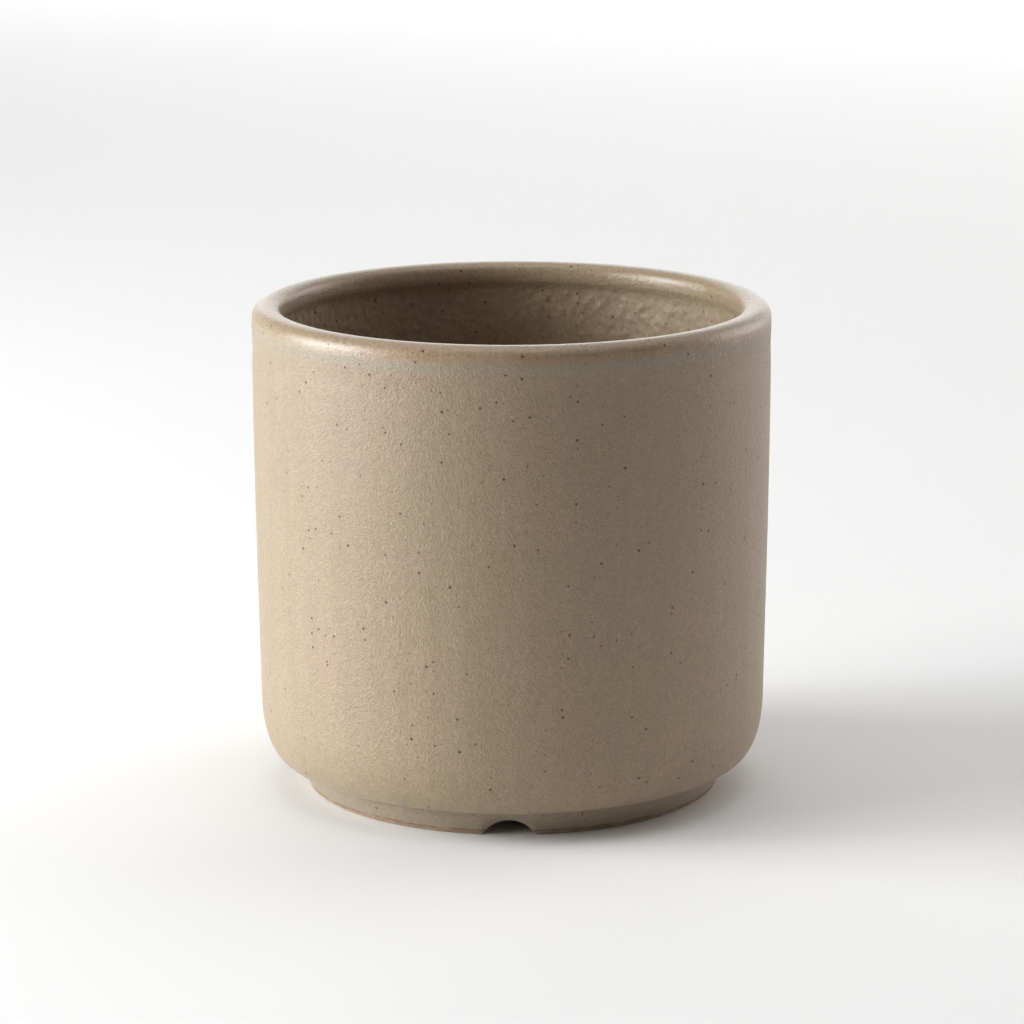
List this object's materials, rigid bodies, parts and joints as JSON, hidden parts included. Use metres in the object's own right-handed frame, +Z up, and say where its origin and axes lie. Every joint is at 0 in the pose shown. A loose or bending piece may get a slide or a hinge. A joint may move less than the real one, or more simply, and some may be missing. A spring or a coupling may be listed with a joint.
{
  "type": "bonsai pot",
  "caption": "Deep round stoneware bonsai pot with a rolled rim, a notched foot ring and a drain hole covered by wire-clipped plastic mesh.",
  "frame": {"origin": "on the pot's axis, in the plane that the foot ring stands on", "axes": "+Z up along the pot's axis; -Y towards the front, where one of the three foot notches is; +X to the right as seen from the front, along the clip's legs"},
  "size_m": [0.13, 0.13, 0.1233],
  "materials": {
    "stoneware": "dry speckled grey-brown glaze, satin on the rim, bare at the bottom edge of the foot ring and underneath",
    "mesh_plastic": "matt black, moulded",
    "clip_wire": "copper-brown anodised, drawn"
  },
  "bodies": {
    "root": {"pot_body": "stoneware", "drain_mesh": "mesh_plastic", "mesh_clip": "clip_wire"}
  },
  "joints": []
}
